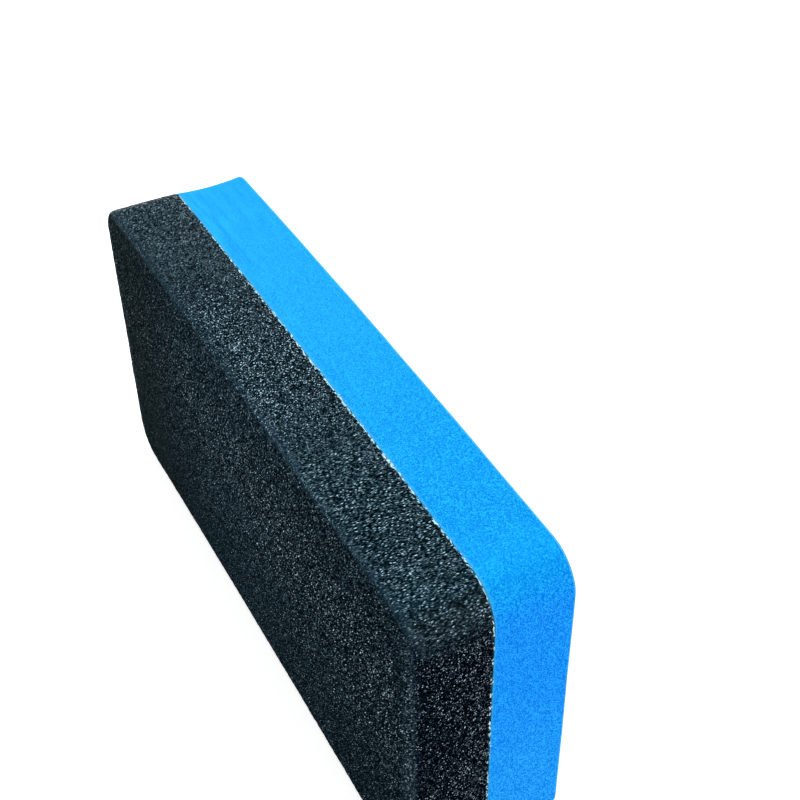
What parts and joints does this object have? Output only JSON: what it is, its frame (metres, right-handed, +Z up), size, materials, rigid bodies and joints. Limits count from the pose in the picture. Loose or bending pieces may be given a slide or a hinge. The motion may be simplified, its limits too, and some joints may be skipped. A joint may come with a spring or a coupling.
{
  "type": "cleaning sponge",
  "caption": "Rectangular two-layer cleaning sponge with rounded corners: coarse black scouring foam bonded to fine blue foam along a thin glue line.",
  "frame": {"origin": "middle of the underside, the long narrow side that the block stands on", "axes": "+X along the length, +Y through the thickness from the black face to the blue face, +Z up across the width"},
  "size_m": [0.12, 0.026, 0.06],
  "materials": {
    "black_foam": "coarse open-celled foam, near black with a blue-grey cast, matt with fine glints on its cell walls",
    "glue_film": "thin pale film of glue, broken into flecks where it shows at the cut sides",
    "blue_foam": "fine closed-celled sky-blue foam, smooth and matt, with a faint cut grain"
  },
  "bodies": {
    "root": {"black_foam": "black_foam", "glue_film": "glue_film", "blue_foam": "blue_foam"}
  },
  "joints": []
}
